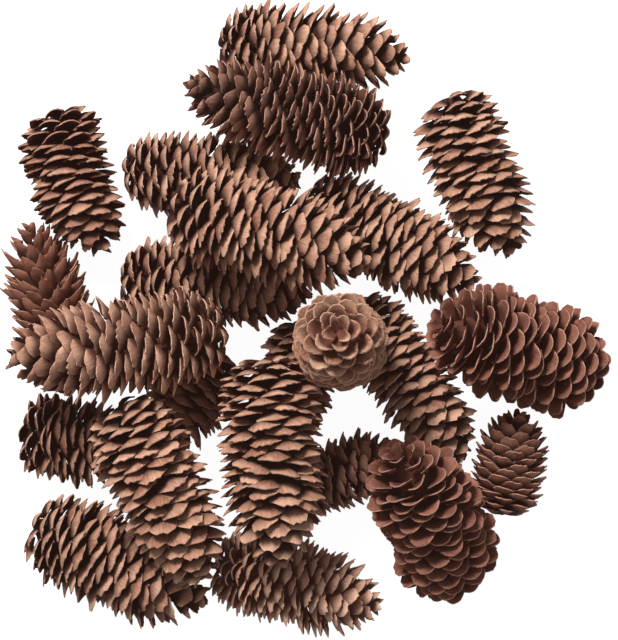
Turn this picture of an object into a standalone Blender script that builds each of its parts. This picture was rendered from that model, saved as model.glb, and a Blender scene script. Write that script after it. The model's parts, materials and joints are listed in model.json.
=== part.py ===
"""A heap of opened spruce cones, lying two deep on a table.

Each cone grew in one piece, so each is one closed solid. Its body is a spindle
whose skin stands out in staggered rings of scale tips. The table's surface is
z = 0, +Z is up, +Y points to the back of the heap, and the origin is under the
middle of the heap. Placements are given in millimetres and degrees.
"""

import math
from dataclasses import dataclass

import bmesh
import bpy
from mathutils import Matrix, Vector

MM = 0.001

# The heap
HEAP_MIDDLE = Vector((-3.7, 0.98, 0.0))   # middle of the placements below, in mm
PRESSED_DEPTH = 1.5                        # mm that the lowest scale tips are flattened by the table

# The skin of one cone
SCALES_ROUND = 8          # scale tips in one ring
RING_PITCH = 7.5          # mm between neighbouring rings of scales
VALLEY_DEPTH = 0.15       # how far the gaps between scales lie below the tips, of the radius
TIP_LEAN = 3.0            # mm that a scale tip stands forward, towards the cone's tip
SPIRAL_STEP = 3.5         # degrees that each ring is turned from the last one

# The outline of one cone, as parts of its length and of its greatest radius
SHOULDER = 0.30           # full girth is reached this far from the stalk end
TAPER_START = 0.45        # and is kept up to here
STALK_END_REACH = 0.95    # how nearly the stalk end's dome closes at its last ring

WOOD_ROUGHNESS = 0.75


@dataclass(frozen=True)
class Cone:
    """One cone: where its axis runs, how thick and how bowed it is, and its scales' colour.

    The ends are (x, y) for a cone on the table and (x, y, z) for one that lies higher. The
    bow is how far the middle of the axis leaves the straight line: downwards, and to the
    left as seen along the cone from its stalk end.
    """

    name: str
    stalk_end: tuple
    tip: tuple
    girth: float
    bow: tuple
    roll: float
    colour: tuple


TAN = (0.52, 0.34, 0.22)
BROWN = (0.36, 0.22, 0.15)
RED_BROWN = (0.27, 0.13, 0.09)
GREY_BROWN = (0.33, 0.23, 0.17)

# Cones on the table. Their axes are level, half a girth up less the pressed depth.
TABLE_CONES = (
    Cone("back_cone", (-48, 140), (51.5, 133), 41.0, (0, 1.5), 10, TAN),
    Cone("far_left_cone", (-128, 110), (-105, 34), 40.5, (0, -4), 40, BROWN),
    Cone("left_cone", (-119, -37), (-142, 50), 42.5, (0, 0), 0, RED_BROWN),
    Cone("back_left_cone", (-97, 76.5), (-4.5, 71), 41.5, (0, -1), 25, TAN),
    Cone("middle_left_cone", (-98.5, 21), (1, 14.5), 42.0, (0, 0), 5, TAN),
    Cone("middle_right_cone", (-5.5, 62.5), (84.5, 17.5), 45.0, (0, 1), 15, TAN),
    Cone("back_right_cone", (72, 117), (103, 33.5), 44.5, (0, -4), 30, TAN),
    Cone("centre_right_cone", (21, 11), (79, -70.5), 40.5, (0, 0), 20, TAN),
    Cone("small_right_cone", (97, -100.5), (107, -46), 36.0, (0, 0), 0, RED_BROWN),
    Cone("front_left_cone", (-149.5, -56.5), (-87, -66), 41.0, (0, 0), 35, BROWN),
    Cone("front_corner_cone", (-142.5, -101.5), (-51.5, -142.5), 46.5, (0, -1.5), 12, TAN),
    Cone("front_cone", (-51, -122.5), (36.5, -146), 42.5, (0, 1), 22, GREY_BROWN),
    Cone("under_left_cone", (-44, -14), (-76, -63), 40.0, (0, 0), 8, BROWN),
    Cone("under_right_cone", (-9.5, -87), (47, -67), 34.5, (0, 0), 18, BROWN),
    Cone("under_centre_cone", (-5, 2), (-5, -56), 35.0, (0, 0), 28, BROWN),
)

# Cones that lie on others, lean on them, or stand up between them.
UPPER_CONES = (
    Cone("top_back_cone", (42, 90, 33), (-61, 115.5, 51), 45.0, (0, 0), 0, GREY_BROWN),
    Cone("top_left_cone", (-37, -5, 51), (-146.5, -18.5, 63), 46.0, (0, 1.5), 20, GREY_BROWN),
    Cone("top_middle_cone", (-72, 57, 57), (28.5, 27.5, 54), 47.0, (0, 1), 33, TAN),
    Cone("top_front_cone", (-21, -15, 51), (-15, -121, 56), 48.0, (0, 0), 6, TAN),
    Cone("top_front_left_cone", (-94, -38, 54), (-52, -129.5, 45), 46.5, (0, 0), 16, TAN),
    Cone("leaning_right_cone", (146.4, -28, 17), (61, -1, 60), 50.0, (5, 0), 26, RED_BROWN),
    Cone("leaning_front_cone", (75, -135, 11), (40.5, -63.5, 69), 48.0, (1, -4), 14, RED_BROWN),
    Cone("upright_cone", (16.5, -15.5, 34), (13, -4.5, 114), 41.0, (0, 0), 36, RED_BROWN),
)


def remove_all_objects():
    """Empty the scene, so that the script can be run again."""
    for old in list(bpy.data.objects):
        bpy.data.objects.remove(old, do_unlink=True)


def new_collection(name):
    """Make a collection and link it to the scene."""
    collection = bpy.data.collections.new(name)
    bpy.context.scene.collection.children.link(collection)
    return collection


def scale_material(cone):
    """Dry woody scales in the cone's own brown."""
    material = bpy.data.materials.new(cone.name + "_scales")
    material.use_nodes = True
    shader = material.node_tree.nodes["Principled BSDF"]
    shader.inputs["Base Color"].default_value = (*cone.colour, 1.0)
    shader.inputs["Roughness"].default_value = WOOD_ROUGHNESS
    shader.inputs["Metallic"].default_value = 0.0
    return material


def outline(along):
    """Radius of the cone's outline, of its greatest, at a part of its length from the stalk end."""
    if along < SHOULDER:
        inward = STALK_END_REACH * (SHOULDER - along) / SHOULDER
        return (1.0 - inward ** 2.5) ** 0.6
    if along > TAPER_START:
        inward = (along - TAPER_START) / (1.0 - TAPER_START)
        return max(0.0, 1.0 - inward ** 2.8) ** 0.7
    return 1.0


def cone_mesh(cone, length, radius):
    """A sphere's grid drawn out along +Z into a spindle with staggered scale tips."""
    rings = round(length / (RING_PITCH * MM))
    columns = 2 * SCALES_ROUND
    shape = bmesh.new()
    bmesh.ops.create_uvsphere(shape, u_segments=columns, v_segments=rings, radius=1.0)
    valleys = set()
    for corner in shape.verts:
        ring = round(rings * (1.0 - math.acos(max(-1.0, min(1.0, corner.co.z))) / math.pi))
        along = ring / rings
        if ring in (0, rings):
            corner.co = (0.0, 0.0, along * length)
            continue
        column = round(math.atan2(corner.co.y, corner.co.x) / math.tau * columns)
        reach = radius * outline(along)
        height = along * length
        if (ring + column) % 2:
            valleys.add(corner)
            reach *= 1.0 - VALLEY_DEPTH
        else:
            height += TIP_LEAN * MM * outline(along)
        angle = math.tau * column / columns + math.radians(SPIRAL_STEP * ring + cone.roll)
        bend = 4.0 * along * (1.0 - along) * MM
        corner.co = (
            reach * math.cos(angle) + bend * cone.bow[0],
            reach * math.sin(angle) + bend * cone.bow[1],
            height,
        )
    fold_between_valleys(shape, valleys)
    bmesh.ops.recalc_face_normals(shape, faces=shape.faces)
    mesh = bpy.data.meshes.new(cone.name)
    shape.to_mesh(mesh)
    shape.free()
    return mesh


def fold_between_valleys(shape, valleys):
    """Split each four-sided face from valley to valley, which leaves each scale tip a ridge."""
    for face in [face for face in shape.faces if len(face.verts) == 4]:
        ends = [corner for corner in face.verts if corner in valleys]
        bmesh.utils.face_split(face, ends[0], ends[1])


def axis_turn(direction):
    """Rotation that lays local +Z along a direction, with local +X as low as it will go."""
    forward = direction.normalized()
    down = Vector((0.0, 0.0, -1.0))
    if abs(forward.z) > 0.95:
        down = Vector((0.0, -1.0, 0.0))
    low = (down - forward * down.dot(forward)).normalized()
    return Matrix((low, forward.cross(low), forward)).transposed()


def add_cone(cone, collection):
    """Make one cone and lay it along its axis."""
    radius = 0.5 * cone.girth * MM
    start = Vector(cone.stalk_end[:2]).to_3d() - HEAP_MIDDLE
    end = Vector(cone.tip[:2]).to_3d() - HEAP_MIDDLE
    if len(cone.tip) == 3:
        start.z = cone.stalk_end[2]
        end.z = cone.tip[2]
    else:
        start.z = end.z = 0.5 * cone.girth - PRESSED_DEPTH
    axis = (end - start) * MM
    piece = bpy.data.objects.new(cone.name, cone_mesh(cone, axis.length, radius))
    piece.location = start * MM
    piece.rotation_euler = axis_turn(axis).to_euler()
    piece.data.materials.append(scale_material(cone))
    collection.objects.link(piece)
    return piece


def add_table_cutter(collection):
    """A block whose top is the table's surface."""
    thickness = 20.0 * MM
    bpy.ops.mesh.primitive_cube_add(size=1.0, location=(0.0, 0.0, -0.5 * thickness))
    block = bpy.context.object
    block.name = "table_cutter"
    block.data.transform(Matrix.Diagonal((0.5, 0.5, thickness, 1.0)))
    block.display_type = "WIRE"
    block.hide_render = True
    for owner in list(block.users_collection):
        owner.objects.unlink(block)
    collection.objects.link(block)
    return block


def press_flat(piece, table):
    """Flatten the scale tips that stand on the table."""
    cut = piece.modifiers.new("pressed_flat", "BOOLEAN")
    cut.operation = "DIFFERENCE"
    cut.solver = "EXACT"
    cut.object = table


def main():
    """Build the heap."""
    remove_all_objects()
    heap = new_collection("spruce_cones")
    cutters = new_collection("cutters")
    table = add_table_cutter(cutters)
    for cone in TABLE_CONES:
        press_flat(add_cone(cone, heap), table)
    for cone in UPPER_CONES:
        add_cone(cone, heap)


main()
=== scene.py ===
"""A heap of dry, opened spruce cones on a white table, seen from straight above.

One Geometry Nodes tree grows every cone. Thin woody seed scales stand around a core in
the golden-angle spiral that real cones follow: spread wide at the stalk end and in the
middle, and closing towards the tip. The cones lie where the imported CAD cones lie.
Sizes and placements are in millimetres and degrees, and are turned into metres and
radians where a mesh or a node needs them.
"""

import json
import logging
import math
import random
from dataclasses import dataclass, field
from enum import Enum

import bmesh
import bpy
import numpy as np
from mathutils import Matrix, Vector

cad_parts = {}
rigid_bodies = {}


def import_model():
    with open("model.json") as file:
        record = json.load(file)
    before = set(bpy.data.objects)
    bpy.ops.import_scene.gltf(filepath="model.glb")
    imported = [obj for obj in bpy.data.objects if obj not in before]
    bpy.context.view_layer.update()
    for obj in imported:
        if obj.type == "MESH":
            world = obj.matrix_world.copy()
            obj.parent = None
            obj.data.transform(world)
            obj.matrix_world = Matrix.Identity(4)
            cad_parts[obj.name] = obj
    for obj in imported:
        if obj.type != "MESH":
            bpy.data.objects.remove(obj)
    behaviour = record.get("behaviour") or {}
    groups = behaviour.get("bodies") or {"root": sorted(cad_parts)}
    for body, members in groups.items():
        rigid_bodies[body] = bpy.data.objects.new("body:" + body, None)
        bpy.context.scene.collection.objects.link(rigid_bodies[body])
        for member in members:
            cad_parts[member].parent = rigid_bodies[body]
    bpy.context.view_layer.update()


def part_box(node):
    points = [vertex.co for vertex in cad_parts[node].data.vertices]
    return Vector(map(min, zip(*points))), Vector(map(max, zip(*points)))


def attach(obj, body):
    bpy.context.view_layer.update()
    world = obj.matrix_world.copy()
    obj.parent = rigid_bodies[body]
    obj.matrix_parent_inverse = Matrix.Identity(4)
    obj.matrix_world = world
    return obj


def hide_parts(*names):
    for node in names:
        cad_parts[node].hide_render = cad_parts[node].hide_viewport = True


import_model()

MM = 0.001
GOLDEN_ANGLE = 137.508

# The heap, as the CAD part has it
HEAP_MIDDLE = Vector((-3.7, 0.98, 0.0))
PRESSED_DEPTH = 1.5
CAD_GIRTH_SHARE = 0.90      # the CAD spindles leave out this much of the scales' thin ends

log = logging.getLogger("spruce_cones")


def linear(hex_colour: str) -> tuple[float, float, float, float]:
    """Turn an sRGB colour into the linear one that a shader works with.

    Args:
        hex_colour: the colour as "#rrggbb".

    Returns:
        Linear red, green, blue and an alpha of one.
    """
    parts = [int(hex_colour[i : i + 2], 16) / 255 for i in (1, 3, 5)]
    return (*(c / 12.92 if c <= 0.04045 else ((c + 0.055) / 1.055) ** 2.4 for c in parts), 1.0)


def result(node: bpy.types.Node) -> bpy.types.NodeSocket:
    """Find a node's first output that is in use."""
    return next(output for output in node.outputs if output.enabled)


def add_node(
    tree: bpy.types.NodeTree, kind: str, links: dict | None = None, **settings: object,
) -> bpy.types.Node:
    """Add a node with its settings and links.

    Args:
        tree: the node tree that the node goes into.
        kind: the node's type, as Blender names it.
        links: for each input, by name or number, a value, a socket, or a node whose result
            is linked.
        **settings: the node's properties, by name.

    Returns:
        The new node.
    """
    node = tree.nodes.new(kind)
    for name, value in settings.items():
        setattr(node, name, value)
    for name, value in (links or {}).items():
        if isinstance(value, bpy.types.Node):
            value = result(value)
        if isinstance(value, bpy.types.NodeSocket):
            tree.links.new(value, node.inputs[name])
        else:
            node.inputs[name].default_value = value
    return node


@dataclass(frozen=True)
class ScaleFinish:
    """Dry spruce seed scale: thin lignified wood that dried and opened on the tree.

    It gives the eye matt brown wood with fine fibres running from the claw to the edge,
    a weathered pale outer face, a redder inner face where the seeds lay, and a worn,
    pale edge.
    """

    slot: str                   # the CAD part's name for the colour
    outer: str                  # the outer face where it has weathered pale
    outer_shade: str            # and where it hasn't
    inner: str                  # the inner face, in the same way
    inner_shade: str
    edge: str                   # the worn edge
    depth: str                  # painted shade on the wood near the core, deep between the scales: the darkest

    fibre_mm: float = 0.9       # real fibres are about 0.1 mm apart; coarser, so that they show
    fibre_run: float = 3.0      # a scale's length to the fibre pattern, in mm, which draws it out
    fibre_shift: float = 90.0   # how far apart the patterns of two scales may lie, in mm
    fibre_contrast: tuple[float, float] = (0.32, 0.68)
    blotches_per_metre: float = 110.0       # blotches of weathering are about 9 mm wide
    blotch_contrast: tuple[float, float] = (0.36, 0.64)
    weathering: tuple[float, float] = (0.5, 2.4)    # fibres, blotches and chance: shade to pale
    painted_shade_span: tuple[float, float] = (0.55, 0.97)  # where along a scale the painted shade of the depth colour ends
    edge_band: tuple[float, float] = (0.02, 0.12)   # how nearly between the faces the edge lies
    edge_wear: tuple[float, float, float] = (0.7, 1.0, 0.6)     # from, to, and the most of it
    relief_mm: float = 0.25
    relief_strength: float = 0.5

    roughness: float = 0.78
    specular: float = 0.2
    ior: float = 1.5
    painted_glow: str = "#ffb5a3"       # a faint painted glow in the wood, standing in for the bright table's light that seeps between and through the thin scales
    painted_glow_strength: float = 0.011

    def material(self, brown: str) -> bpy.types.Material:
        """Build the finish as a material.

        Args:
            brown: which of the heap's browns this is.

        Returns:
            The material, which reads the attributes that the scales carry.
        """
        material = bpy.data.materials.new(f"dry_spruce_scale_{brown}")
        material.use_nodes = True
        tree = material.node_tree
        shader = tree.nodes["Principled BSDF"]
        for socket, value in (
            ("Roughness", self.roughness),
            ("Specular IOR Level", self.specular),
            ("IOR", self.ior),
            # Painted glow: the wood gives off a little reddish light, which lifts its darkest shade
            ("Emission Color", linear(self.painted_glow)),
            ("Emission Strength", self.painted_glow_strength),
        ):
            shader.inputs[socket].default_value = value
        along, across, inner, tint = (
            add_node(tree, "ShaderNodeAttribute", attribute_name=attribute).outputs["Fac"]
            for attribute in ("out_along", "across", "inner", "tint")
        )
        worn = add_node(tree, "ShaderNodeMath", {
            0: self.fibres(tree, along, across, tint), 1: self.blotches(tree),
        }, operation="ADD")
        wood = self.wood(tree, worn, along, inner, tint)
        edged = add_node(tree, "ShaderNodeMix", {
            0: self.edge_mask(tree, along, inner), 6: wood, 7: linear(self.edge),
        }, data_type="RGBA")
        tree.links.new(result(edged), shader.inputs["Base Color"])
        relief = add_node(tree, "ShaderNodeBump", {
            "Height": worn, "Strength": self.relief_strength, "Distance": self.relief_mm * MM,
        })
        tree.links.new(relief.outputs["Normal"], shader.inputs["Normal"])
        return material

    def fibres(
        self, tree: bpy.types.NodeTree, along: bpy.types.NodeSocket,
        across: bpy.types.NodeSocket, tint: bpy.types.NodeSocket,
    ) -> bpy.types.Node:
        """Streaks that run from a scale's claw to its edge.

        Args:
            tree: the material's node tree.
            along: place from claw to edge, from 0 to 1.
            across: place across the scale in millimetres.
            tint: the scale's own random number, which gives each scale other streaks.

        Returns:
            The node that gives the streaks' strength, from 0 to 1.
        """
        place = add_node(tree, "ShaderNodeCombineXYZ", {
            "X": across,
            "Y": add_node(tree, "ShaderNodeMath", {0: along, 1: self.fibre_run}, operation="MULTIPLY"),
            "Z": add_node(tree, "ShaderNodeMath", {0: tint, 1: self.fibre_shift}, operation="MULTIPLY"),
        })
        streaks = add_node(tree, "ShaderNodeTexNoise", {
            "Vector": place, "Scale": 1.0 / self.fibre_mm, "Detail": 3.0, "Roughness": 0.65,
        })
        low, high = self.fibre_contrast
        return add_node(tree, "ShaderNodeMapRange", {
            "Value": streaks.outputs["Fac"], "From Min": low, "From Max": high,
        })

    def blotches(self, tree: bpy.types.NodeTree) -> bpy.types.Node:
        """Patches where a cone has weathered more, across several scales.

        Args:
            tree: the material's node tree.

        Returns:
            The node that gives the patches' strength, from 0 to 1.
        """
        patches = add_node(tree, "ShaderNodeTexNoise", {
            "Vector": add_node(tree, "ShaderNodeTexCoord").outputs["Object"],
            "Scale": self.blotches_per_metre, "Detail": 3.0, "Roughness": 0.6,
        })
        low, high = self.blotch_contrast
        return add_node(tree, "ShaderNodeMapRange", {
            "Value": patches.outputs["Fac"], "From Min": low, "From Max": high,
        })

    def wood(
        self, tree: bpy.types.NodeTree, worn: bpy.types.Node, along: bpy.types.NodeSocket,
        inner: bpy.types.NodeSocket, tint: bpy.types.NodeSocket,
    ) -> bpy.types.Node:
        """The wood of the two faces, weathered outside, with painted shade deep between the scales.

        Args:
            tree: the material's node tree.
            worn: how worn the wood is, from its fibres and blotches.
            along: place from claw to edge, from 0 to 1.
            inner: 0 on the outer face and 1 on the inner one.
            tint: the scale's own random number, which makes it a little paler or darker.

        Returns:
            The node that gives the colour.
        """
        weathered = add_node(tree, "ShaderNodeMath", {0: worn, 1: tint}, operation="ADD")
        low, high = self.weathering
        pale = add_node(tree, "ShaderNodeMapRange", {"Value": weathered, "From Min": low, "From Max": high})
        outside, inside = (
            add_node(tree, "ShaderNodeMix", {0: pale, 6: linear(dark), 7: linear(bright)}, data_type="RGBA")
            for dark, bright in ((self.outer_shade, self.outer), (self.inner_shade, self.inner))
        )
        faces = add_node(tree, "ShaderNodeMix", {0: inner, 6: outside, 7: inside}, data_type="RGBA")
        # Painted shade: towards the claw, where the scales hide each other from the light, the wood turns to
        # the dark depth colour
        low, high = self.painted_shade_span
        beyond_painted_shade = add_node(tree, "ShaderNodeMapRange", {
            "Value": along, "From Min": low, "From Max": high,
        }, interpolation_type="SMOOTHSTEP")
        return add_node(tree, "ShaderNodeMix", {0: beyond_painted_shade, 6: linear(self.depth), 7: faces}, data_type="RGBA")

    def edge_mask(
        self, tree: bpy.types.NodeTree, along: bpy.types.NodeSocket, inner: bpy.types.NodeSocket,
    ) -> bpy.types.Node:
        """Where the scale's worn edge shows: on the narrow band between its two faces.

        Args:
            tree: the material's node tree.
            along: place from claw to edge, from 0 to 1.
            inner: 0 on the outer face, 1 on the inner face, and in between on the edge.

        Returns:
            The node that gives how much of the edge's colour shows, from 0 to 1.
        """
        other = add_node(tree, "ShaderNodeMath", {0: 1.0, 1: inner}, operation="SUBTRACT")
        between = add_node(tree, "ShaderNodeMath", {0: inner, 1: other}, operation="MULTIPLY")
        low, high = self.edge_band
        band = add_node(tree, "ShaderNodeMapRange", {"Value": between, "From Min": low, "From Max": high})
        low, high, most = self.edge_wear
        wear = add_node(tree, "ShaderNodeMapRange", {
            "Value": along, "From Min": low, "From Max": high, "To Max": most,
        }, interpolation_type="SMOOTHSTEP")
        return add_node(tree, "ShaderNodeMath", {0: band, 1: wear}, operation="MULTIPLY")


class Finish(Enum):
    """The browns that the heap's cones have weathered to.

    The colours are the outer face and its shade, the inner face and its shade, the edge,
    and the painted shade deep between the scales, near the core.
    """

    # Weathered pale outside, warm brown inside: most of the cones
    TAN = ScaleFinish("tan", "#dcac90", "#9a6651", "#8c5644", "#573026", "#e0bca4", "#3a2019")
    # Less weathered
    BROWN = ScaleFinish("brown", "#c8967d", "#865545", "#80493a", "#4f2b22", "#d0a68e", "#351d16")
    # Red and even, with a pale rim
    RED_BROWN = ScaleFinish("red_brown", "#b07862", "#7c4a3d", "#ab7360", "#7c4d40", "#c99d88", "#5c3529")
    # Greyed
    GREY_BROWN = ScaleFinish("grey_brown", "#bb8a75", "#805344", "#80503f", "#4e2e25", "#bf9582", "#3a231c")
    # Greyed, with warm wood showing through
    WARM_BROWN = ScaleFinish("grey_brown", "#dcac92", "#a06c57", "#935e4c", "#603a2e", "#dcb69e", "#5a372a")
    # Paler than the warm brown as painted light: it lifts the shade that the cones above cast on the front
    # cone
    LIGHT_BROWN = ScaleFinish("grey_brown", "#ecc0a6", "#c08b74", "#a8705c", "#744a3c", "#e6c4ae", "#7a5142")
    # Red wood with pale inner faces
    PALE_BROWN = ScaleFinish("red_brown", "#bc8c72", "#8c5c49", "#dcb092", "#8c5644", "#c89c82", "#6c4032")
    # Red wood that has browned, with deep shade between the scales
    NUT_BROWN = ScaleFinish("red_brown", "#c28c75", "#845040", "#84503f", "#522d23", "#d0a089", "#3a2019")


@dataclass(frozen=True)
class SeedScale:
    """One seed scale: a narrow claw that widens to a fan, arched across and curled at its end."""

    length: float = 20.0
    width: float = 17.0
    claw: float = 4.0           # width where it leaves the core
    widest: float = 0.72        # where along the scale it is widest
    narrowing: float = 0.12     # how much narrower its end is
    arch: float = 3.7           # how far the sides stand above the keel
    arched: float = 0.7         # where along the scale they stand at full height
    curl: float = 3.1           # how far the keel's end bends up, towards the cone's tip
    curl_start: float = 0.5     # where along the scale it begins to bend
    keel: float = 1.6           # 1 gives a sharp keel, 2 a round one
    rounding: float = 0.30      # how far the corners fall back, of the length
    bluntness: float = 2.4      # a low value gives a pointed end, a high one a blunt end
    ragged: float = 0.9         # how far the edge's teeth reach
    tooth_lift: float = 0.4     # how far a tooth bends up, of its reach
    lean: float = 0.06          # the most that it leans to a side, of its length
    root_thickness: float = 1.3
    edge_thickness: float = 0.6

    # How late along the scale each shape comes in: below 1 is early, above 1 is late
    spread_power: float = 0.9
    arch_power: float = 1.5
    curl_power: float = 1.6
    rounding_power: float = 1.5

    stations: tuple[float, ...] = (0.0, 0.38, 0.7, 0.88, 1.0)
    columns: int = 9

    def half_width(self, out: float) -> float:
        """Half the scale's width at a place along it.

        Args:
            out: the place, from 0 at the claw to 1 at the edge.

        Returns:
            The half width in millimetres.
        """
        spread = min(1.0, out / self.widest) ** self.spread_power
        past = max(0.0, out - self.widest) / (1.0 - self.widest)
        return 0.5 * (self.claw + (self.width - self.claw) * spread * (1.0 - self.narrowing * past))

    def sheet(self, chance: random.Random) -> np.ndarray:
        """Lay out the outer face.

        Args:
            chance: where the teeth of the edge come from.

        Returns:
            Points by station and column, with +X outwards and +Z towards the cone's tip.
        """
        points = np.zeros((len(self.stations), self.columns, 3))
        teeth = [chance.uniform(-1, 1) * self.ragged for _ in range(self.columns)]
        lean = chance.uniform(-self.lean, self.lean)
        for row, out in enumerate(self.stations):
            half = self.half_width(out)
            arched = self.arch * min(1.0, out / self.arched) ** self.arch_power
            bent = max(0.0, (out - self.curl_start) / (1.0 - self.curl_start)) ** self.curl_power
            for column in range(self.columns):
                side = 2.0 * column / (self.columns - 1) - 1.0
                flank = abs(side) ** self.keel
                fall = self.rounding * abs(side) ** self.bluntness * out ** self.rounding_power
                tooth = teeth[column] if row == len(self.stations) - 1 else 0.0
                points[row, column] = (
                    self.length * out * (1.0 - fall) + tooth,
                    side * half + lean * self.length * out * out,
                    arched * flank + self.curl * bent * (1.0 - flank) + self.tooth_lift * tooth,
                )
        return points

    def inner_face(self, outer: np.ndarray) -> np.ndarray:
        """Lay out the inner face, over the outer one by the scale's thickness.

        Args:
            outer: the outer face's points.

        Returns:
            The inner face's points, by station and column.
        """
        up = np.cross(np.gradient(outer, axis=0), np.gradient(outer, axis=1))
        up /= np.linalg.norm(up, axis=2, keepdims=True)
        out = np.array(self.stations)[:, None, None]
        return outer + up * (self.root_thickness + (self.edge_thickness - self.root_thickness) * out)

    def build(self, name: str, seed: int) -> bpy.types.Object:
        """Make the scale as a closed thin shell, in metres.

        Args:
            name: the object's name.
            seed: which of the many slightly different scales this is.

        Returns:
            The scale, with its root at the origin.
        """
        outer = self.sheet(random.Random(seed))
        shell = bmesh.new()
        along, across, inner = (shell.verts.layers.float.new(key) for key in ("out_along", "across", "inner"))
        rims = []
        for is_inner, sheet in enumerate((outer, self.inner_face(outer))):
            grid = []
            for out, place in zip(self.stations, sheet):
                line = [shell.verts.new(point * MM) for point in place]
                for corner, point in zip(line, place):
                    corner[along] = out
                    corner[across] = point[1]
                    corner[inner] = is_inner
                grid.append(line)
            for near, far in zip(grid, grid[1:]):
                for i in range(self.columns - 1):
                    shell.faces.new((near[i], near[i + 1], far[i + 1], far[i])).smooth = True
            right, left = [line[-1] for line in grid[1:-1]], [line[0] for line in grid[-2:0:-1]]
            rims.append(grid[0] + right + grid[-1][::-1] + left)
        self.close_rim(shell, *rims)
        bmesh.ops.recalc_face_normals(shell, faces=shell.faces)
        mesh = bpy.data.meshes.new(name)
        shell.to_mesh(mesh)
        shell.free()
        return bpy.data.objects.new(name, mesh)

    def close_rim(
        self, shell: bmesh.types.BMesh, outer: list[bmesh.types.BMVert], inner: list[bmesh.types.BMVert],
    ) -> None:
        """Join the two faces round the edge, with a sharp corner on both sides.

        Args:
            shell: the scale so far.
            outer: the outer face's corners, once round.
            inner: the inner face's corners, in the same order.
        """
        for i, (below, above) in enumerate(zip(outer, inner)):
            j = (i + 1) % len(outer)
            shell.faces.new((below, outer[j], inner[j], above))
            for corners in ((below, outer[j]), (above, inner[j])):
                shell.edges.get(corners).smooth = False


@dataclass(frozen=True)
class Growth:
    """How one kind of cone grows: the shape of its scales and how far they have opened."""

    scale: SeedScale
    opening: tuple[float, float, float]     # from the cone's axis: at the stalk end, middle and tip
    scale_width: float = 17.0               # on a cone of the standard girth
    scales_per_mm: float = 1.5
    unevenness: float = 0.09
    standard_girth: float = 48.0


class Habit(Enum):
    """The kinds of cone in the heap."""

    # Wide open and worn
    ERODED = Growth(SeedScale(), (98.0, 77.0, 42.0), scale_width=15.5)
    # The scales at the stalk end bent right back
    REFLEXED = Growth(SeedScale(keel=1.7), (116.0, 84.0, 42.0))
    # Narrow pointed scales, half closed
    SLENDER = Growth(
        SeedScale(arch=3.8, curl=2.4, keel=1.6, rounding=0.45, bluntness=1.8),
        (84.0, 50.0, 36.0), scale_width=10.0, scales_per_mm=2.0, unevenness=0.08,
    )
    # Smooth broad scales, like the bowls of spoons
    SPOON = Growth(
        SeedScale(arch=3.2, curl=0.8, keel=1.8, rounding=0.38, bluntness=3.0, ragged=0.5),
        (102.0, 86.0, 46.0), scale_width=15.0, scales_per_mm=1.8, unevenness=0.09,
    )
    # Round petals about a closed middle
    ROSETTE = Growth(
        SeedScale(
            arch=3.0, curl=1.0, keel=1.8, rounding=0.42, bluntness=3.0, ragged=0.6, edge_thickness=1.0,
        ),
        (100.0, 76.0, 52.0), scale_width=16.5, scales_per_mm=1.9, unevenness=0.06,
    )
    # Short and full, with the scales in even rows
    BARREL = Growth(
        SeedScale(arch=3.2, curl=2.4, keel=1.4, rounding=0.46, bluntness=3.6, ragged=0.5),
        (92.0, 64.0, 34.0), scale_width=16.0, scales_per_mm=2.0, unevenness=0.04,
    )
    # Large hooded scales that close over the tip
    CLOSING = Growth(
        SeedScale(arch=5.0, curl=5.0, curl_start=0.42, keel=1.6, rounding=0.40, bluntness=3.4, ragged=0.9),
        (104.0, 82.0, 46.0), scale_width=15.0, scales_per_mm=1.45, unevenness=0.08,
    )
    # Many narrow scales, close together
    CROWDED = Growth(
        SeedScale(arch=3.4, curl=2.6, keel=1.6, rounding=0.40, bluntness=2.0, ragged=0.8),
        (108.0, 80.0, 44.0), scale_width=12.5, scales_per_mm=2.1, unevenness=0.10,
    )
    # Not yet spread
    HALF_OPEN = Growth(
        SeedScale(arch=3.4, curl=2.0, keel=1.7, rounding=0.38, bluntness=2.4, ragged=0.7),
        (94.0, 62.0, 42.0), scale_width=14.5,
    )


class Draw(Enum):
    """What chance decides for each scale; the numbers keep one use's draws apart from another's."""

    REACH = 11
    OPENING = 23
    TURN = 37
    TINT = 41
    ROLL = 53


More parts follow.
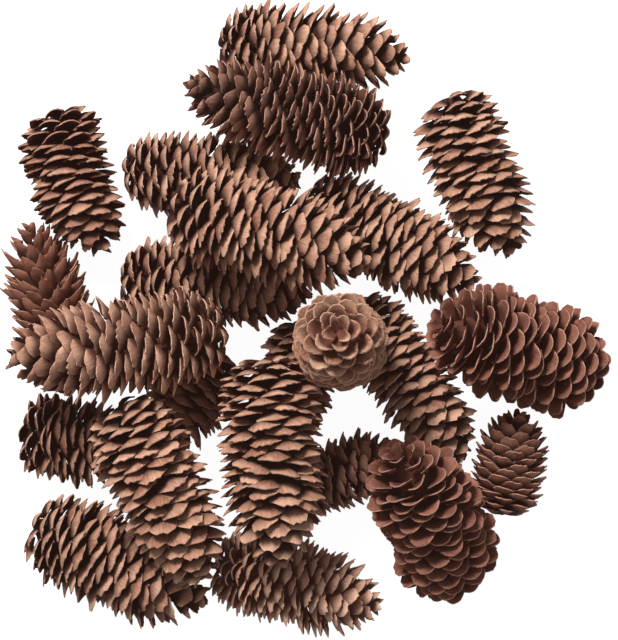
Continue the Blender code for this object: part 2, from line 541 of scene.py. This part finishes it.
@dataclass
class ScaleSpiral:
    """The Geometry Nodes tree that grows a cone along +Z from its scales and core."""

    # The outline of a cone, as parts of its length and of its greatest radius
    shoulder: float = 0.30              # full girth is reached this far from the stalk end
    taper_start: float = 0.45           # and is kept up to here
    stalk_end_reach: float = 0.95       # how nearly the stalk end's dome closes
    dome: tuple[float, float] = (2.9, 0.55)     # powers that make the stalk end full and round
    taper: tuple[float, float] = (3.6, 0.6)     # and the tip

    # Where the scales stand
    first_scale: float = 0.015          # the ends of the first and last scales, of the length
    last_scale: float = 0.995
    spread_at_tip: float = 0.12         # how much further apart the scales stand at the tip
    spread_power: float = 6.0           # how late along the cone that comes in
    fully_open: float = 0.4             # the scales are opened as in the middle from here
    closing_from: float = 0.5           # and close from here to the tip
    shortest_scale: float = 10.0
    narrowest_scale: float = 0.24       # a scale's width at the ends of the cone, of the full width
    flattest_scale: float = 0.6         # and its arch and thickness there, in the same way
    stray_turn: float = 1.5             # how far an uneven scale is turned about the cone, in radians
    stray_roll: float = 2.5             # and about its own middle

    # The core, which the scales grow from
    core_share: float = 0.24            # its radius where the scales leave it, of the cone's
    stem_girth: float = 1.9             # its bulge in the middle, of that radius
    stem_half_length: float = 0.43      # of the cone's length
    stem_middle: float = 0.46
    stem_sides: int = 12
    stem_rings: int = 10

    variants: int = 4                   # different seed scales on one cone

    tree: bpy.types.NodeTree = field(init=False)
    sockets: dict[str, str] = field(init=False)
    given: bpy.types.bpy_prop_collection = field(init=False)

    inputs = (
        ("Scales", "NodeSocketCollection"),
        ("Wood", "NodeSocketMaterial"),
        ("Length", "NodeSocketFloat"),
        ("Girth", "NodeSocketFloat"),
        ("Number of scales", "NodeSocketInt"),
        ("Opening at stalk end", "NodeSocketFloat"),
        ("Opening in middle", "NodeSocketFloat"),
        ("Opening at tip", "NodeSocketFloat"),
        ("Scale width", "NodeSocketFloat"),
        ("Turn", "NodeSocketFloat"),
        ("Bow low", "NodeSocketFloat"),
        ("Bow left", "NodeSocketFloat"),
        ("Unevenness", "NodeSocketFloat"),
        ("Seed", "NodeSocketInt"),
    )

    def __post_init__(self) -> None:
        """Build the tree once; every cone uses it with its own values."""
        self.tree = bpy.data.node_groups.new("scale_spiral", "GeometryNodeTree")
        self.tree.interface.new_socket(name="Cone", in_out="OUTPUT", socket_type="NodeSocketGeometry")
        self.sockets = {
            name: self.tree.interface.new_socket(name=name, in_out="INPUT", socket_type=kind).identifier
            for name, kind in self.inputs
        }
        self.given = self.tree.nodes.new("NodeGroupInput").outputs
        self.grow()

    def spacing(self, index: bpy.types.Node) -> bpy.types.Node:
        """Where a scale's end lies along the cone; the scales stand further apart at the tip.

        Args:
            index: the scale's number, from the stalk end.

        Returns:
            The node that gives the part of the length.
        """
        tree = self.tree
        last = add_node(tree, "ShaderNodeMath", {
            0: self.given["Number of scales"], 1: 1.0,
        }, operation="SUBTRACT")
        share = add_node(tree, "ShaderNodeMath", {0: index, 1: last}, operation="DIVIDE")
        late = add_node(tree, "ShaderNodeMath", {0: share, 1: self.spread_power}, operation="POWER")
        spread = add_node(tree, "ShaderNodeMath", {0: late, 1: self.spread_at_tip}, operation="MULTIPLY")
        spaced = add_node(tree, "ShaderNodeMath", {
            0: share, 1: 1.0 - self.spread_at_tip, 2: spread,
        }, operation="MULTIPLY_ADD")
        return add_node(tree, "ShaderNodeMapRange", {
            "Value": spaced, "To Min": self.first_scale, "To Max": self.last_scale,
        })

    def outline(self, along: bpy.types.Node) -> bpy.types.Node:
        """The cone's radius, of its greatest, at a part of its length.

        Args:
            along: the part of the length, from the stalk end.

        Returns:
            The node that gives the radius.
        """
        tree = self.tree
        near_stalk = add_node(tree, "ShaderNodeMapRange", {
            "Value": along, "From Min": self.shoulder, "From Max": 0.0, "To Max": self.stalk_end_reach,
        })
        near_tip = add_node(tree, "ShaderNodeMapRange", {"Value": along, "From Min": self.taper_start})
        sides = []
        for inward, (fullness, roundness) in ((near_stalk, self.dome), (near_tip, self.taper)):
            part = add_node(tree, "ShaderNodeMath", {0: inward, 1: fullness}, operation="POWER")
            part = add_node(tree, "ShaderNodeMath", {0: 1.0, 1: part}, operation="SUBTRACT")
            sides.append(add_node(tree, "ShaderNodeMath", {0: part, 1: roundness}, operation="POWER"))
        return add_node(tree, "ShaderNodeMath", {0: sides[0], 1: sides[1]}, operation="MULTIPLY")

    def opening(self, along: bpy.types.Node) -> bpy.types.Node:
        """How far a scale leans out from the axis, which changes along the cone.

        Args:
            along: the part of the length, from the stalk end.

        Returns:
            The node that gives the angle.
        """
        tree = self.tree
        spread = add_node(tree, "ShaderNodeMapRange", {
            "Value": along, "From Max": self.fully_open,
            "To Min": self.given["Opening at stalk end"], "To Max": self.given["Opening in middle"],
        }, interpolation_type="SMOOTHSTEP")
        closing = add_node(tree, "ShaderNodeMapRange", {
            "Value": along, "From Min": self.closing_from,
        }, interpolation_type="SMOOTHSTEP")
        whole = add_node(tree, "ShaderNodeMix", {
            0: closing, 2: spread, 3: self.given["Opening at tip"],
        }, data_type="FLOAT")
        return self.uneven(whole, 1.0, Draw.OPENING)

    def chance(self, low: float, high: float, draw: Draw) -> bpy.types.Node:
        """A random number for each scale, the same at every build.

        Args:
            low: the least that it may be.
            high: the most that it may be.
            draw: what it decides.

        Returns:
            The node that gives the number.
        """
        seed = add_node(self.tree, "ShaderNodeMath", {0: self.given["Seed"], 1: draw.value}, operation="ADD")
        return add_node(self.tree, "FunctionNodeRandomValue", {
            2: low, 3: high, "Seed": seed,
        }, data_type="FLOAT")

    def uneven(self, even: bpy.types.Node | float, most: float, draw: Draw) -> bpy.types.Node:
        """Move a value up or down by chance, as far as the cone is uneven.

        Args:
            even: the value of a perfectly even cone.
            most: how far it moves on a cone of unevenness 1.
            draw: what it decides.

        Returns:
            The node that gives the uneven value.
        """
        return add_node(self.tree, "ShaderNodeMath", {
            0: self.chance(-most, most, draw), 1: self.given["Unevenness"], 2: even,
        }, operation="MULTIPLY_ADD")

    def grow(self) -> None:
        """Set every scale in the spiral, add the core, and finish the mesh."""
        tree, given = self.tree, self.given
        index = add_node(tree, "GeometryNodeInputIndex")
        along = self.spacing(index)
        outline = self.outline(along)
        half = add_node(tree, "ShaderNodeMath", {0: given["Girth"], 1: 0.5}, operation="MULTIPLY")
        core = add_node(tree, "ShaderNodeMath", {0: half, 1: self.core_share}, operation="MULTIPLY")
        reach = add_node(tree, "ShaderNodeMath", {0: half, 1: outline}, operation="MULTIPLY")
        reach = add_node(tree, "ShaderNodeMath", {
            0: reach, 1: self.uneven(1.0, 1.0, Draw.REACH),
        }, operation="MULTIPLY")

        # A scale is as long as it takes to get from the core to the outline
        angle = self.opening(along)
        sine = add_node(tree, "ShaderNodeMath", {0: angle}, operation="SINE")
        cosine = add_node(tree, "ShaderNodeMath", {0: angle}, operation="COSINE")
        span = add_node(tree, "ShaderNodeMath", {0: reach, 1: core}, operation="SUBTRACT")
        span = add_node(tree, "ShaderNodeMath", {0: span, 1: sine}, operation="DIVIDE")
        span = add_node(tree, "ShaderNodeMath", {0: span, 1: self.shortest_scale * MM}, operation="MAXIMUM")

        # Its root lies that far back from its end, inwards and down
        inward = add_node(tree, "ShaderNodeMath", {0: span, 1: sine}, operation="MULTIPLY")
        root = add_node(tree, "ShaderNodeMath", {0: reach, 1: inward}, operation="SUBTRACT")
        root = add_node(tree, "ShaderNodeMath", {0: root, 1: 0.0}, operation="MAXIMUM")
        lift = add_node(tree, "ShaderNodeMath", {0: span, 1: cosine}, operation="MULTIPLY")
        height = add_node(tree, "ShaderNodeMath", {0: along, 1: given["Length"]}, operation="MULTIPLY")
        height = add_node(tree, "ShaderNodeMath", {0: height, 1: lift}, operation="SUBTRACT")

        # Each scale is turned by the golden angle from the last one
        turn = add_node(tree, "ShaderNodeMath", {
            0: index, 1: math.radians(GOLDEN_ANGLE), 2: given["Turn"],
        }, operation="MULTIPLY_ADD")
        turn = self.uneven(turn, self.stray_turn, Draw.TURN)
        east, north = (
            add_node(tree, "ShaderNodeMath", {
                0: root, 1: add_node(tree, "ShaderNodeMath", {0: turn}, operation=side),
            }, operation="MULTIPLY")
            for side in ("COSINE", "SINE")
        )
        points = add_node(tree, "GeometryNodePoints", {
            "Count": given["Number of scales"],
            "Position": add_node(tree, "ShaderNodeCombineXYZ", {"X": east, "Y": north, "Z": height}),
        })
        points = add_node(tree, "GeometryNodeStoreNamedAttribute", {
            "Geometry": points, "Name": "tint", "Value": self.chance(0.0, 1.0, Draw.TINT),
        }, data_type="FLOAT", domain="POINT")
        self.finish(self.scales(points, angle, turn, span, outline), core)

    def scales(
        self, points: bpy.types.Node, angle: bpy.types.Node, turn: bpy.types.Node,
        span: bpy.types.Node, outline: bpy.types.Node,
    ) -> bpy.types.Node:
        """Put a scale on every point, turned outwards and as large as it has to be.

        Args:
            points: the scales' roots.
            angle: how far each scale leans out from the axis.
            turn: how far it is turned about the axis.
            span: its length.
            outline: the cone's radius there, of its greatest.

        Returns:
            The node that gives the scales in their places.
        """
        tree, given = self.tree, self.given
        lean = add_node(tree, "ShaderNodeMath", {0: angle, 1: math.radians(90.0)}, operation="SUBTRACT")
        roll = add_node(tree, "ShaderNodeMath", {
            0: self.chance(-self.stray_roll, self.stray_roll, Draw.ROLL), 1: given["Unevenness"],
        }, operation="MULTIPLY")
        wide = add_node(tree, "ShaderNodeMapRange", {"Value": outline, "To Min": self.narrowest_scale})
        wide = add_node(tree, "ShaderNodeMath", {0: wide, 1: given["Scale width"]}, operation="MULTIPLY")
        full = SeedScale()
        length, width = (
            add_node(tree, "ShaderNodeMath", {0: size, 1: whole * MM}, operation="DIVIDE")
            for size, whole in ((span, full.length), (wide, full.width))
        )
        arch = add_node(tree, "ShaderNodeMapRange", {"Value": outline, "To Min": self.flattest_scale})
        return add_node(tree, "GeometryNodeInstanceOnPoints", {
            "Points": points,
            "Instance": add_node(tree, "GeometryNodeCollectionInfo", {
                "Collection": given["Scales"], "Separate Children": True, "Reset Children": True,
            }),
            "Pick Instance": True,
            "Instance Index": add_node(tree, "FunctionNodeRandomValue", {
                4: 0, 5: self.variants - 1, "Seed": given["Seed"],
            }, data_type="INT"),
            "Rotation": add_node(tree, "ShaderNodeCombineXYZ", {"X": roll, "Y": lean, "Z": turn}),
            "Scale": add_node(tree, "ShaderNodeCombineXYZ", {"X": length, "Y": width, "Z": arch}),
        })

    def stem(self, core: bpy.types.Node) -> bpy.types.Node:
        """The core that the scales grow from: a long rounded body, hidden between them.

        Args:
            core: the core's radius where the scales leave it.

        Returns:
            The node that gives the core.
        """
        tree, given = self.tree, self.given
        ball = add_node(tree, "GeometryNodeMeshUVSphere", {
            "Segments": self.stem_sides, "Rings": self.stem_rings, "Radius": 1.0,
        })
        radius = add_node(tree, "ShaderNodeMath", {0: core, 1: self.stem_girth}, operation="MULTIPLY")
        half, middle = (
            add_node(tree, "ShaderNodeMath", {0: given["Length"], 1: share}, operation="MULTIPLY")
            for share in (self.stem_half_length, self.stem_middle)
        )
        return add_node(tree, "GeometryNodeTransform", {
            "Geometry": ball.outputs["Mesh"],
            "Scale": add_node(tree, "ShaderNodeCombineXYZ", {"X": radius, "Y": radius, "Z": half}),
            "Translation": add_node(tree, "ShaderNodeCombineXYZ", {"Z": middle}),
        })

    def finish(self, scales: bpy.types.Node, core: bpy.types.Node) -> None:
        """Join the scales to the core, bow the cone and give it its material.

        Args:
            scales: the scales in their places.
            core: the core's radius where the scales leave it.
        """
        tree, given = self.tree, self.given
        joined = add_node(tree, "GeometryNodeJoinGeometry", {"Geometry": self.stem(core)})
        tree.links.new(result(scales), joined.inputs["Geometry"])
        whole = add_node(tree, "GeometryNodeRealizeInstances", {"Geometry": joined})
        place = add_node(tree, "ShaderNodeSeparateXYZ", {
            "Vector": add_node(tree, "GeometryNodeInputPosition"),
        })
        share = add_node(tree, "ShaderNodeMath", {
            0: place.outputs["Z"], 1: given["Length"],
        }, operation="DIVIDE", use_clamp=True)
        rest = add_node(tree, "ShaderNodeMath", {0: 1.0, 1: share}, operation="SUBTRACT")
        bend = add_node(tree, "ShaderNodeMath", {0: share, 1: rest}, operation="MULTIPLY")
        # The bend is a parabola along the cone, and four times it is 1 in the middle
        bend = add_node(tree, "ShaderNodeMath", {0: bend, 1: 4.0}, operation="MULTIPLY")
        bow = add_node(tree, "ShaderNodeCombineXYZ", {"X": given["Bow low"], "Y": given["Bow left"]})
        bowed = add_node(tree, "GeometryNodeSetPosition", {
            "Geometry": whole,
            "Offset": add_node(tree, "ShaderNodeVectorMath", {0: bow, "Scale": bend}, operation="SCALE"),
        })
        dressed = add_node(tree, "GeometryNodeSetMaterial", {"Geometry": bowed, "Material": given["Wood"]})
        add_node(tree, "NodeGroupOutput", {"Cone": dressed})


@dataclass(frozen=True)
class Cone:
    """One cone: where its axis runs, how thick and bowed it is, and how it grew.

    The ends are (x, y) for a cone on the table and (x, y, z) for one that lies higher. The
    bow is how far the middle of the axis leaves the straight line: downwards, and to the
    left as seen along the cone from its stalk end.
    """

    node: str
    stalk_end: tuple[float, ...]
    tip: tuple[float, ...]
    cad_girth: float
    bow: tuple[float, float]
    turn: float
    finish: Finish
    habit: Habit = Habit.ERODED

    @property
    def girth(self) -> float:
        """The cone's greatest thickness over its scales' ends."""
        return self.cad_girth / CAD_GIRTH_SHARE

    def ends(self) -> tuple[Vector, Vector]:
        """The ends of the cone's axis.

        Returns:
            The stalk end and the tip, in metres from the middle of the heap.
        """
        on_table = 0.5 * self.cad_girth - PRESSED_DEPTH
        start, end = (
            (Vector((*place[:2], place[2] if len(place) == 3 else on_table)) - HEAP_MIDDLE) * MM
            for place in (self.stalk_end, self.tip)
        )
        return start, end

    def placement(self) -> Matrix:
        """The turn and shift that lay a cone grown along +Z where it belongs.

        Returns:
            The matrix, which turns local +X as low as it will go.
        """
        start, end = self.ends()
        forward = (end - start).normalized()
        upright = abs(forward.z) > 0.95
        down = Vector((0.0, -1.0, 0.0)) if upright else Vector((0.0, 0.0, -1.0))
        low = (down - forward * down.dot(forward)).normalized()
        turned = Matrix((low, forward.cross(low), forward)).transposed()
        return Matrix.Translation(start) @ turned.to_4x4()

    def grow(
        self, spiral: ScaleSpiral, scales: bpy.types.Collection, wood: bpy.types.Material,
    ) -> bpy.types.Mesh:
        """Grow the cone along +Z.

        Args:
            spiral: the tree that grows it.
            scales: the seed scales that it is made of.
            wood: its material.

        Returns:
            The cone as a plain mesh.
        """
        growth = self.habit.value
        start, end = self.ends()
        length = (end - start).length
        at_stalk_end, in_middle, at_tip = (math.radians(angle) for angle in growth.opening)
        values = {
            "Scales": scales,
            "Wood": wood,
            "Length": length,
            "Girth": self.girth * MM,
            "Number of scales": round(length / MM * growth.scales_per_mm),
            "Opening at stalk end": at_stalk_end,
            "Opening in middle": in_middle,
            "Opening at tip": at_tip,
            "Scale width": growth.scale_width * self.girth / growth.standard_girth * MM,
            "Turn": math.radians(self.turn),
            "Bow low": self.bow[0] * MM,
            "Bow left": self.bow[1] * MM,
            "Unevenness": growth.unevenness,
            "Seed": sum(ord(letter) for letter in self.node),
        }
        carrier = bpy.data.objects.new("growing", bpy.data.meshes.new("growing"))
        bpy.context.scene.collection.objects.link(carrier)
        modifier = carrier.modifiers.new("spiral", "NODES")
        modifier.node_group = spiral.tree
        for name, value in values.items():
            modifier[spiral.sockets[name]] = value
        graph = bpy.context.evaluated_depsgraph_get()
        mesh = bpy.data.meshes.new_from_object(carrier.evaluated_get(graph))
        bpy.data.objects.remove(carrier)
        return mesh

    def rest_on_table(self, mesh: bpy.types.Mesh) -> None:
        """Bend the ends of the scales that meet the table, so that they lie on it.

        Args:
            mesh: the cone in its place.
        """
        bent_below, lowest = 2.0 * MM, 0.2 * MM
        room = bent_below - lowest
        for corner in mesh.vertices:
            depth = bent_below - corner.co.z
            if depth > 0.0:
                corner.co.z = bent_below - room * (1.0 - math.exp(-depth / room))

    def build(
        self, spiral: ScaleSpiral, scales: bpy.types.Collection, wood: bpy.types.Material,
    ) -> bpy.types.Object:
        """Grow the cone and lay it in the heap.

        Args:
            spiral: the tree that grows it.
            scales: the seed scales that it is made of.
            wood: its material.

        Returns:
            The finished cone, standing in for its CAD node.
        """
        mesh = self.grow(spiral, scales, wood)
        mesh.name = self.node
        mesh.transform(self.placement())
        self.rest_on_table(mesh)
        piece = bpy.data.objects.new(f"{self.node}_open_scales", mesh)
        bpy.context.scene.collection.objects.link(piece)
        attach(piece, "root")
        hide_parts(self.node)
        return piece


TAN, BROWN, RED_BROWN, GREY_BROWN, WARM_BROWN, LIGHT_BROWN, PALE_BROWN, NUT_BROWN = Finish


@dataclass
class Heap:
    """All the cones, in the places of the CAD nodes."""

    on_table: tuple[Cone, ...] = (
        Cone("back_cone", (-48, 140), (51.5, 133), 41.0, (0, 1.5), 10, TAN, Habit.HALF_OPEN),
        Cone("far_left_cone", (-128, 110), (-105, 34), 40.5, (0, -4), 40, BROWN, Habit.REFLEXED),
        Cone("left_cone", (-119, -37), (-142, 50), 42.5, (0, 0), 0, RED_BROWN, Habit.SLENDER),
        Cone("back_left_cone", (-97, 76.5), (-4.5, 71), 41.5, (0, -1), 25, TAN),
        Cone("middle_left_cone", (-98.5, 21), (1, 14.5), 42.0, (0, 0), 5, TAN),
        Cone("middle_right_cone", (-5.5, 62.5), (84.5, 17.5), 45.0, (0, 1), 15, TAN),
        Cone("back_right_cone", (72, 117), (103, 33.5), 44.5, (0, -4), 30, TAN),
        Cone("centre_right_cone", (21, 11), (79, -70.5), 40.5, (0, 0), 20, TAN),
        Cone("small_right_cone", (97, -100.5), (107, -46), 36.0, (0, 0), 0, NUT_BROWN, Habit.BARREL),
        Cone("front_left_cone", (-149.5, -56.5), (-87, -66), 41.0, (0, 0), 35, BROWN, Habit.REFLEXED),
        Cone("front_corner_cone", (-142.5, -101.5), (-51.5, -142.5), 46.5, (0, -1.5), 12, TAN),
        # Its paler finish is painted light, lifting the shade cast on it by the cones above
        Cone("front_cone", (-51, -122.5), (36.5, -146), 42.5, (0, 1), 22, LIGHT_BROWN, Habit.CROWDED),
        Cone("under_left_cone", (-44, -14), (-76, -63), 40.0, (0, 0), 8, BROWN),
        Cone("under_right_cone", (-9.5, -87), (47, -67), 34.5, (0, 0), 18, BROWN),
        Cone("under_centre_cone", (-5, 2), (-5, -56), 35.0, (0, 0), 28, BROWN),
    )
    above: tuple[Cone, ...] = (
        Cone("top_back_cone", (42, 90, 33), (-61, 115.5, 51), 45.0, (0, 0), 0, GREY_BROWN, Habit.CROWDED),
        Cone(
            "top_left_cone", (-37, -5, 51), (-146.5, -18.5, 63), 46.0, (0, 1.5), 20, WARM_BROWN,
            Habit.CLOSING,
        ),
        Cone("top_middle_cone", (-72, 57, 57), (28.5, 27.5, 54), 47.0, (0, 1), 33, TAN, Habit.CLOSING),
        Cone("top_front_cone", (-21, -15, 51), (-15, -121, 56), 48.0, (0, 0), 6, TAN),
        Cone("top_front_left_cone", (-94, -38, 54), (-52, -129.5, 45), 46.5, (0, 0), 16, TAN),
        Cone("leaning_right_cone", (146.4, -28, 17), (61, -1, 60), 50.0, (5, 0), 26, RED_BROWN, Habit.SPOON),
        Cone(
            "leaning_front_cone", (75, -135, 11), (40.5, -63.5, 69), 48.0, (1, -4), 14, RED_BROWN,
            Habit.SPOON,
        ),
        Cone("upright_cone", (16.5, -15.5, 34), (13, -4.5, 114), 41.0, (0, 0), 36, PALE_BROWN, Habit.ROSETTE),
    )
    pieces: list[bpy.types.Object] = field(default_factory=list)

    def seed_scales(self, habit: Habit, variants: int) -> bpy.types.Collection:
        """Make the few different seed scales of one kind of cone.

        Args:
            habit: the kind of cone.
            variants: how many to make.

        Returns:
            A collection of them, outside the scene.
        """
        scales = bpy.data.collections.new(f"{habit.name.lower()}_scales")
        for number in range(variants):
            name = f"{habit.name.lower()}_scale_{number}"
            scales.objects.link(habit.value.scale.build(name, seed=100 * number + len(name)))
        return scales

    def build(self) -> None:
        """Grow every cone, then clear away what they were grown from."""
        spiral = ScaleSpiral()
        woods = {finish: finish.value.material(finish.name.lower()) for finish in Finish}
        kinds = {habit: self.seed_scales(habit, spiral.variants) for habit in Habit}
        for cone in self.on_table + self.above:
            piece = cone.build(spiral, kinds[cone.habit], woods[cone.finish])
            low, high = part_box(cone.node)
            log.info("%s: %d faces, CAD box %s to %s", piece.name, len(piece.data.polygons), low, high)
            self.pieces.append(piece)
        for scales in kinds.values():
            for scale in list(scales.objects):
                bpy.data.objects.remove(scale)
            bpy.data.collections.remove(scales)
        bpy.data.node_groups.remove(spiral.tree)


@dataclass
class Studio:
    """A white table, a large soft light from the back left, and the camera overhead."""

    table_size: float = 6000.0
    table_roughness: float = 0.9
    table_glow: float = 0.95
    camera_height: float = 1150.0
    lens: float = 125.4
    key_from: Vector = field(default_factory=lambda: Vector((-480.0, 980.0, 1080.0)))
    key_size: float = 420.0
    key_watts: float = 28.0
    sky_strength: float = 0.31

    def build(self) -> None:
        """Set up the whole studio."""
        self.table()
        self.lights()
        self.camera()

    def table(self) -> None:
        """A plain white table top of matt opal acrylic, lit from below, which fills the shadows on it."""
        half = 0.5 * self.table_size * MM
        corners = ((-half, -half), (half, -half), (half, half), (-half, half))
        top = bmesh.new()
        top.faces.new([top.verts.new((x, y, 0.0)) for x, y in corners])
        mesh = bpy.data.meshes.new("table_top")
        top.to_mesh(mesh)
        top.free()
        material = bpy.data.materials.new("opal_light_table")
        material.use_nodes = True
        shader = material.node_tree.nodes["Principled BSDF"]
        shader.inputs["Base Color"].default_value = linear("#9a9a9a")
        shader.inputs["Roughness"].default_value = self.table_roughness
        shader.inputs["Emission Color"].default_value = linear("#ffffff")
        shader.inputs["Emission Strength"].default_value = self.table_glow
        mesh.materials.append(material)
        table = bpy.data.objects.new("table_top", mesh)
        table.visible_diffuse = table.visible_glossy = False
        bpy.context.scene.collection.objects.link(table)

    def lights(self) -> None:
        """One large soft box, and an even pale sky that fills the shadows."""
        lamp = bpy.data.lights.new("soft_box", "AREA")
        lamp.shape = "SQUARE"
        lamp.size = self.key_size * MM
        lamp.energy = self.key_watts
        key = bpy.data.objects.new("soft_box", lamp)
        key.location = self.key_from * MM
        key.rotation_euler = (-self.key_from).to_track_quat("-Z", "Y").to_euler()
        bpy.context.scene.collection.objects.link(key)
        sky = bpy.data.worlds.new("studio_sky")
        sky.use_nodes = True
        background = sky.node_tree.nodes["Background"]
        background.inputs["Color"].default_value = linear("#ffffff")
        background.inputs["Strength"].default_value = self.sky_strength
        bpy.context.scene.world = sky

    def camera(self) -> None:
        """A long lens, looking straight down at the heap, with its back edge at the top."""
        data = bpy.data.cameras.new("overhead")
        data.lens = self.lens
        eye = bpy.data.objects.new("overhead", data)
        eye.location = (Vector((0.0, 0.0, self.camera_height)) - HEAP_MIDDLE) * MM
        bpy.context.scene.collection.objects.link(eye)
        bpy.context.scene.camera = eye
        bpy.context.scene.view_settings.view_transform = "Standard"


def main() -> None:
    """Build the heap and the studio, and note the sizes."""
    logging.basicConfig(level=logging.INFO, format="%(name)s: %(message)s")
    Heap().build()
    Studio().build()


if __name__ == "__main__":
    main()
